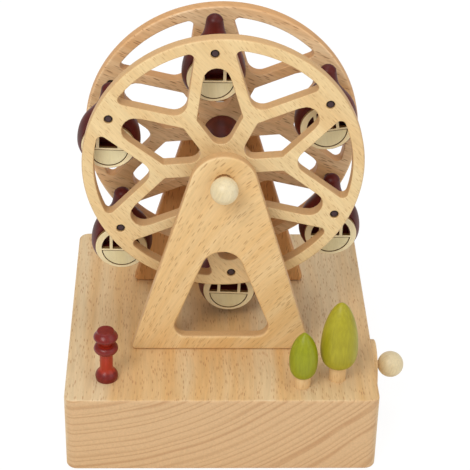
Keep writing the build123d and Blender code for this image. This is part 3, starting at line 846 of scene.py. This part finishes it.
def weighted_edges(tree: Tree, board: Socket, given: Sockets) -> Socket:
    """Gives the board's sharp edges the weight that the Bevel modifier reads.

    Args:
        tree: The node tree.
        board: The board.
        given: The tree's inputs.

    Returns:
        The board with its weights.
    """
    bend = add_node(tree, "GeometryNodeInputMeshEdgeAngle").outputs["Unsigned Angle"]
    sharp = calculate(tree, "GREATER_THAN", bend, 1.0)
    place = add_node(tree, "GeometryNodeInputPosition").outputs[0]
    on_rim = calculate(tree, "GREATER_THAN", reach_from_axis(tree, place), given["Rim radius"])
    inputs = {0: on_rim, 2: given["Ease"], 3: given["Rim ease"]}
    ease = add_node(tree, "ShaderNodeMix", inputs, data_type="FLOAT").outputs[0]
    weight = calculate(tree, "MULTIPLY", sharp, ease)
    inputs = {"Geometry": board, "Name": "bevel_weight_edge", "Value": weight}
    kind = {"data_type": "FLOAT", "domain": "EDGE"}
    return add_node(tree, "GeometryNodeStoreNamedAttribute", inputs, **kind).outputs[0]


def fretted_board_tree() -> Tree:
    """Tree that cuts a board along closed outlines and repeats some of them about its middle.

    The outlines are edge loops drawn in X and Y in metres. Points with the attribute once stay single.
    The edges that the Bevel modifier eases get their weight from Ease, or from Rim ease on the outer rim.

    Returns:
        The tree.
    """
    inputs = {
        "Repeats": 1, "First angle": 0.0, "Thickness": 0.005, "Rim radius": 1.0, "Ease": 0.4,
        "Rim ease": 1.0, "Translation": (0.0, 0.0, 0.0), "Rotation": (0.0, 0.0, 0.0), "Material": None,
    }
    tree, given = geometry_tree("fretted_board", inputs, takes_shape=True)
    board = raised_sheet(tree, repeated_outlines(tree, given), given["Thickness"])
    marked = weighted_edges(tree, board, given)
    smooth = add_node(tree, "GeometryNodeSetShadeSmooth", {"Geometry": marked, "Shade Smooth": True})
    inputs = {
        "Geometry": smooth.outputs[0], "Translation": given["Translation"],
        "Rotation": given["Rotation"],
    }
    placed = add_node(tree, "GeometryNodeTransform", inputs)
    close_tree(tree, placed.outputs[0], given["Material"])
    return tree


def lifted(tree: Tree, shape: Socket, height: Socket) -> Socket:
    """Lifts a shape.

    Args:
        tree: The node tree.
        shape: The shape.
        height: How far it is lifted.

    Returns:
        The lifted shape.
    """
    offset = add_node(tree, "ShaderNodeCombineXYZ", {"Z": height})
    return add_node(
        tree, "GeometryNodeTransform", {"Geometry": shape, "Translation": offset.outputs[0]}
    ).outputs[0]


def slotted_screw(tree: Tree, given: Sockets, sides: int = 48) -> Socket:
    """Adds one screw with its head down: a cone for the head, a straight shank, a point and the slot.

    Args:
        tree: The node tree.
        given: The tree's inputs.
        sides: How many sides its round pieces have.

    Returns:
        The screw.
    """
    inputs = {
        "Vertices": sides, "Radius Top": given["Shank radius"],
        "Radius Bottom": given["Head radius"], "Depth": given["Head height"],
    }
    head = add_node(tree, "GeometryNodeMeshCone", inputs)
    under_head = calculate(tree, "SUBTRACT", given["Length"], given["Head height"])
    straight = calculate(tree, "SUBTRACT", under_head, given["Shank radius"])
    middle = calculate(tree, "MULTIPLY_ADD", straight, 0.5, given["Head height"])
    inputs = {"Vertices": sides, "Radius": given["Shank radius"], "Depth": straight}
    shank = add_node(tree, "GeometryNodeMeshCylinder", inputs)
    inputs = {
        "Vertices": sides, "Radius Top": 0.0,
        "Radius Bottom": given["Shank radius"], "Depth": given["Shank radius"],
    }
    point = add_node(tree, "GeometryNodeMeshCone", inputs)
    point_height = calculate(tree, "SUBTRACT", given["Length"], given["Shank radius"])
    solids = [
        head.outputs["Mesh"],
        lifted(tree, shank.outputs["Mesh"], middle),
        lifted(tree, point.outputs["Mesh"], point_height),
    ]
    body = add_node(tree, "GeometryNodeMeshBoolean", {"Mesh 2": solids}, operation="UNION")
    slot_length = calculate(tree, "MULTIPLY", given["Head radius"], 4.0)
    slot_height = calculate(tree, "MULTIPLY", given["Slot depth"], 2.0)
    inputs = {"X": slot_length, "Y": given["Slot width"], "Z": slot_height}
    slot_size = add_node(tree, "ShaderNodeCombineXYZ", inputs)
    slot = add_node(tree, "GeometryNodeMeshCube", {"Size": slot_size.outputs[0]})
    inputs = {"Mesh 1": body.outputs["Mesh"], "Mesh 2": slot.outputs["Mesh"]}
    return add_node(tree, "GeometryNodeMeshBoolean", inputs, operation="DIFFERENCE").outputs["Mesh"]


def countersunk_screws_tree() -> Tree:
    """Tree of slotted countersunk screws that point up, one at each corner of a rectangle.

    Returns:
        The tree.
    """
    inputs = {
        "Columns": 2, "Rows": 2, "Width": 0.1, "Depth": 0.1, "Head radius": 0.0025,
        "Head height": 0.0015, "Shank radius": 0.00125, "Length": 0.009, "Slot width": 0.0007,
        "Slot depth": 0.0007, "Material": None,
    }
    tree, given = geometry_tree("countersunk_screws", inputs, takes_shape=False)
    inputs = {
        "Size X": given["Width"], "Size Y": given["Depth"],
        "Vertices X": given["Columns"], "Vertices Y": given["Rows"],
    }
    corners = add_node(tree, "GeometryNodeMeshGrid", inputs)
    inputs = {"Points": corners.outputs["Mesh"], "Instance": slotted_screw(tree, given)}
    copies = add_node(tree, "GeometryNodeInstanceOnPoints", inputs)
    close_tree(tree, copies.outputs[0], given["Material"])
    return tree


# ---- sub-assemblies


@dataclass
class Base:
    """Block with the closing panel, its screws, the dowels and the A-frames. Lengths are in millimetres."""

    finishes: Finishes
    screw_head_radius: float = 2.5
    screw_head_height: float = 1.5
    screw_radius: float = 1.25

    def build(self) -> None:
        """Dresses the base's nodes."""
        dress("base_block", self.finishes.base)
        dress("base_panel", self.finishes.dowel)
        self.add_screws()
        dress("a_frame_dowels", self.finishes.dowel)
        dress("front_a_frame", self.finishes.frame)
        # The rear A-frame's redder, darker finish is painted warm shade.
        dress("rear_a_frame", self.finishes.rear_frame_painted_shade)

    def add_screws(self) -> None:
        """Drives the panel's four screws, which replace the CAD screws."""
        low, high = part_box("base_panel_screws")
        head = self.screw_head_radius * MM
        values = {
            "Width": high.x - low.x - 2 * head, "Depth": high.y - low.y - 2 * head, "Head radius": head,
            "Head height": self.screw_head_height * MM, "Shank radius": self.screw_radius * MM,
            "Length": high.z - low.z, "Material": self.finishes.steel,
        }
        draft = add_object("screws_draft", bpy.data.meshes.new("screws_draft"))
        add_tree(draft, countersunk_screws_tree(), values)
        screws = keep_result("countersunk_screws", draft)
        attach(screws, "stand")
        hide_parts("base_panel_screws")
        log.info("%s: %d faces", screws.name, len(screws.data.polygons))


@dataclass
class Drive:
    """Crank, gears, shafts, pulleys and belt."""

    finishes: Finishes

    def build(self) -> None:
        """Dresses the drive's nodes."""
        for name in (
            "crank_shaft", "crank_disc", "knob_pin", "cross_shaft", "crank_bearing_block",
            "cross_shaft_bearing_blocks", "wheel_axle", "axle_collar",
        ):
            dress(name, self.finishes.dowel)
        for name in ("crank_bevel_gear", "cross_shaft_bevel_gear", "cross_shaft_pulley", "axle_pulley"):
            dress(name, self.finishes.nylon)
        dress("drive_belt", self.finishes.rubber)
        for name in ("crank_knob", "front_axle_ball", "rear_axle_ball"):
            dress(name, self.finishes.ball)


@dataclass
class Wheels:
    """The two fretted wheels, the barrel between them and the pins, in millimetres and degrees."""

    finishes: Finishes
    radius: float = 51.0
    rim_width: float = 4.3
    pin_inset: float = 5.6
    pin_hole_radius: float = 1.55
    bore_radius: float = 2.52
    arms: int = 6
    first_angle: float = -4.6
    node_half_width: float = 7.0
    v_width: float = 4.2
    v_angle: float = 12.2
    hub_spoke_width: float = 5.8
    kite_radii: Triple = (4.0, 1.0, 4.85)
    window_root_radius: float = 4.8
    window_corner_radius: float = 1.8
    ease: float = 0.45
    rim_ease: float = 1.0
    ease_steps: int = 3
    outline_points: int = 180
    bore_points: int = 36
    pin_hole_points: int = 24
    corner_steps: int = 8
    root_steps: int = 10
    rim_steps: int = 24

    def build(self) -> None:
        """Cuts both wheels and dresses what turns with them."""
        tree = fretted_board_tree()
        self.add_wheel("front_wheel", tree, self.finishes.front_wheel)
        self.add_wheel("rear_wheel", tree, self.finishes.rear_wheel)
        dress("hub_barrel", self.finishes.gondola)
        for number in range(1, self.arms + 1):
            dress(f"gondola_pin_{number}", self.finishes.pin)

    def add_wheel(self, name: str, tree: Tree, finish: Material) -> None:
        """Cuts one wheel, which replaces the CAD wheel.

        Args:
            name: The CAD wheel's name.
            tree: The node tree.
            finish: The wheel's finish.
        """
        low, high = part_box(name)
        values = {
            "Repeats": self.arms,
            "First angle": -math.radians(self.first_angle),
            "Thickness": high.y - low.y,
            "Rim radius": (self.radius - self.rim_width / 2) * MM,
            "Ease": self.ease / self.rim_ease,
            "Rim ease": 1.0,
            "Translation": (0.0, high.y, (low.z + high.z) / 2),
            "Rotation": (math.pi / 2, 0.0, 0.0),
            "Material": finish,
        }
        draft = add_object(f"{name}_draft", loops_mesh(f"{name}_outlines", self.sector(), self.rings()))
        add_tree(draft, tree, values)
        easing = draft.modifiers.new("eased_edges", "BEVEL")
        easing.limit_method = "WEIGHT"
        easing.width = self.rim_ease * MM
        easing.segments = self.ease_steps
        easing.harden_normals = True
        wheel = keep_result(f"{name}_fretted", draft)
        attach(wheel, "wheel")
        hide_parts(name)
        log.info("%s: %d faces", wheel.name, len(wheel.data.polygons))

    def rings(self) -> list[Loop]:
        """The outlines that a wheel has once.

        Returns:
            The rim and the axle's bore.
        """
        return [
            circle_points((0, 0), self.radius, self.outline_points),
            circle_points((0, 0), self.bore_radius, self.bore_points),
        ]

    def sector(self) -> list[Loop]:
        """The openings of one arm: kite, pin hole and, half a step on, the rim window.

        Returns:
            Three loops drawn for an arm that points straight up.
        """
        step = math.pi / self.arms
        slope = math.tan(math.radians(self.v_angle))
        pin_reach = self.radius - self.pin_inset
        half_at_pin = self.node_half_width - self.v_width / math.cos(math.radians(self.v_angle))
        reach = half_at_pin + slope * pin_reach
        half_spoke = self.hub_spoke_width / 2
        side_v = (reach * math.cos(step) + half_spoke) / (math.sin(step) + slope * math.cos(step))
        side_u = reach - slope * side_v
        foot = half_spoke / math.sin(step)
        corners = [(0, foot), (side_u, side_v), (0, reach / slope), (-side_u, side_v)]
        base, side, tip = self.kite_radii
        kite = rounded_loop(corners, [base, side, tip, side], self.corner_steps)
        pin_hole = circle_points((0, pin_reach), self.pin_hole_radius, self.pin_hole_points)
        return [kite, pin_hole, self.rim_window(step, slope, pin_reach)]

    def rim_window(self, step: float, slope: float, pin_reach: float) -> Loop:
        """Outline of the opening between two arms and the rim.

        Args:
            step: Half the angle between two arms, in radians.
            slope: How fast an arm of the V leans away from its middle line.
            pin_reach: Distance of the pins from the axle.

        Returns:
            The loop, turned half a step clockwise from straight up.
        """
        inner = self.radius - self.rim_width
        corner = self.window_corner_radius
        root = (self.node_half_width + slope * pin_reach) / (math.sin(step) + slope * math.cos(step))
        side = step + math.radians(self.v_angle)
        along = Vector((math.sin(side), math.cos(side)))
        inward = Vector((-math.cos(side), math.sin(side)))
        start = Vector((0, root)) + inward * corner
        ahead = start.dot(along)
        far = math.sqrt(ahead**2 - start.length_squared + (inner - corner) ** 2) - ahead
        centre = start + along * far
        foot = math.atan2(-inward.y, -inward.x)
        rim_start = math.atan2(centre.y, centre.x)
        right = arc_points(tuple(centre), corner, foot, rim_start, self.corner_steps)
        rim = arc_points((0, 0), inner, rim_start, math.pi - rim_start, self.rim_steps)[1:-1]
        left = [(-x, y) for x, y in reversed(right)]
        throat = (0, root + self.window_root_radius / math.sin(side))
        bottom = arc_points(
            throat, self.window_root_radius, math.pi + side, 2 * math.pi - side, self.root_steps
        )
        turn = Matrix.Rotation(-step, 2)
        return [tuple(turn @ Vector(point)) for point in bottom + right + rim + left]


@dataclass
class Gondolas:
    """Six hanging gondolas."""

    finishes: Finishes
    count: int = 6

    def build(self) -> None:
        """Dresses the gondolas' nodes."""
        for number in range(1, self.count + 1):
            dress(f"gondola_body_{number}", self.finishes.gondola)
            dress(f"gondola_fascias_{number}", self.finishes.plate)
            dress(f"gondola_half_moons_{number}", self.finishes.half_moon)


@dataclass
class Garden:
    """Turned post and two trees on the base. Lengths are in millimetres."""

    finishes: Finishes
    cap_height: float = 5.0
    hollow_radius: float = 2.6
    bead_radius: float = 3.7

    def build(self) -> None:
        """Dresses the post and the trees."""
        dress("red_post", self.post_lacquer())
        # Olive green stain under a satin lacquer.
        small = Stain(
            "green_stain_small", deep="#8b8f08", thin="#9ea00c", roughness=0.45, coat=0.1, grain_share=0.1
        )
        large = Stain(
            "green_stain_large", deep="#a0961a", thin="#b3a92a", roughness=0.5, coat=0.08, grain_share=0.1
        )
        dress("small_tree_crown", small.material())
        dress("large_tree_crown", large.material())
        for name in ("small_tree_trunk", "large_tree_trunk"):
            dress(name, self.finishes.dowel)

    def post_lacquer(self) -> Material:
        """Red lacquer, dark where it is thick on the beads and the cap, bright in the hollows.

        Returns:
            The material, centred on the post.
        """
        low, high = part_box("red_post")
        middle = (low + high) / 2 / MM
        return Stain(
            "red_lacquer_post",
            deep="#701410", thin="#a52d14", axis=(middle.x, middle.y),
            thin_inside=self.hollow_radius, deep_outside=self.bead_radius,
            thin_up_to=high.z / MM - self.cap_height, mottle=0.2,
            roughness=0.38, coat=0.15, coat_roughness=0.14,
        ).material()


# ---- studio


@dataclass(frozen=True)
class Lamp:
    """Soft square lamp that faces the toy, in metres and watts."""

    name: str
    place: Triple
    side: float
    watts: float
    aim: Triple = (0.0, 0.0, 0.06)

    def build(self) -> None:
        """Adds the lamp."""
        light = bpy.data.lights.new(self.name, "AREA")
        light.size = self.side
        light.energy = self.watts
        holder = add_object(self.name, light)
        holder.location = self.place
        holder.rotation_mode = "QUATERNION"
        facing = Vector(self.aim) - Vector(self.place)
        holder.rotation_quaternion = facing.to_track_quat("-Z", "Y")


@dataclass
class Studio:
    """Camera, floor, daylight and lamps, in metres and degrees."""

    azimuth: float = -2.258
    elevation: float = 32.302
    roll: float = 1.391
    distance: float = 0.623307
    focal_pixels: float = 1640.721
    frame_pixels: float = 470.0
    sensor: float = 36.0
    nearest: float = 0.01
    farthest: float = 50.0
    target: Triple = (0.005305, 0.0, 0.067147)
    floor_side: float = 6.0
    floor_colour: str = "#f7f6f4"
    floor_glow: float = 1.06
    floor_glow_share: float = 0.86
    daylight: float = 0.45
    lamps: tuple[Lamp, ...] = (
        Lamp("key_lamp", (-0.55, -0.9, 1.15), 0.7, 10.8),
        Lamp("fill_lamp", (0.9, -0.6, 0.7), 0.9, 2.8),
        Lamp("top_lamp", (0.0, 0.25, 1.4), 0.9, 4.4),
    )

    def build(self) -> None:
        """Builds the whole studio."""
        self.add_camera()
        self.add_floor()
        self.add_world()
        for lamp in self.lamps:
            lamp.build()

    def add_camera(self) -> None:
        """Adds the camera that takes the photograph's view."""
        turn, rise, lean = (math.radians(a) for a in (self.azimuth, self.elevation, self.roll))
        back = Vector((math.sin(turn) * math.cos(rise), -math.cos(turn) * math.cos(rise), math.sin(rise)))
        level = (-back).cross(Vector((0, 0, 1))).normalized()
        top = level.cross(-back)
        right = level * math.cos(lean) + top * math.sin(lean)
        up = top * math.cos(lean) - level * math.sin(lean)
        lens = bpy.data.cameras.new("camera")
        lens.sensor_width = self.sensor
        lens.lens = self.focal_pixels / self.frame_pixels * self.sensor
        lens.clip_start = self.nearest
        lens.clip_end = self.farthest
        camera = add_object("camera", lens)
        facing = Matrix((right, up, back)).transposed().to_4x4()
        camera.matrix_world = Matrix.Translation(Vector(self.target) + back * self.distance) @ facing
        bpy.context.scene.camera = camera

    def add_floor(self) -> None:
        """Adds the pale floor, which looks white and keeps the toy's shadow."""
        half = self.floor_side / 2
        corners = [(-half, -half, 0), (half, -half, 0), (half, half, 0), (-half, half, 0)]
        mesh = bpy.data.meshes.new("floor")
        mesh.from_pydata(corners, [], [(0, 1, 2, 3)])
        floor = add_object("floor", mesh)
        material, tree = new_material("white_paper_floor")
        ray = add_node(tree, "ShaderNodeLightPath")
        paper = add_node(tree, "ShaderNodeBsdfDiffuse", {"Color": linear(self.floor_colour)})
        glow = add_node(tree, "ShaderNodeEmission", {"Color": (1, 1, 1, 1), "Strength": self.floor_glow})
        seen = calculate(tree, "MULTIPLY", ray.outputs["Is Camera Ray"], self.floor_glow_share)
        mixed = add_node(tree, "ShaderNodeMixShader", {0: seen, 1: paper.outputs[0], 2: glow.outputs[0]})
        add_node(tree, "ShaderNodeOutputMaterial", {"Surface": mixed.outputs[0]})
        mesh.materials.append(material)

    def add_world(self) -> None:
        """Adds even daylight, and plain white where the camera sees past the floor."""
        world = bpy.data.worlds.new("studio")
        bpy.context.scene.world = world
        world.use_nodes = True
        tree = world.node_tree
        tree.nodes.clear()
        ray = add_node(tree, "ShaderNodeLightPath").outputs
        clear = calculate(tree, "MAXIMUM", ray["Is Camera Ray"], ray["Is Transmission Ray"])
        strength = remap(tree, clear, (0.0, 1.0), (self.daylight, 1.0))
        light = add_node(tree, "ShaderNodeBackground", {"Color": (1, 1, 1, 1), "Strength": strength})
        add_node(tree, "ShaderNodeOutputWorld", {"Surface": light.outputs[0]})


def main() -> None:
    """Builds the studio and the toy's sub-assemblies in order."""
    logging.basicConfig(level=logging.INFO, format="%(message)s")
    bpy.context.scene.view_settings.view_transform = "Standard"
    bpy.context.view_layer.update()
    Studio().build()
    finishes = Finishes()
    for part in (Base(finishes), Drive(finishes), Wheels(finishes), Gondolas(finishes), Garden(finishes)):
        part.build()
        log.info("%s built", type(part).__name__)


if __name__ == "__main__":
    main()
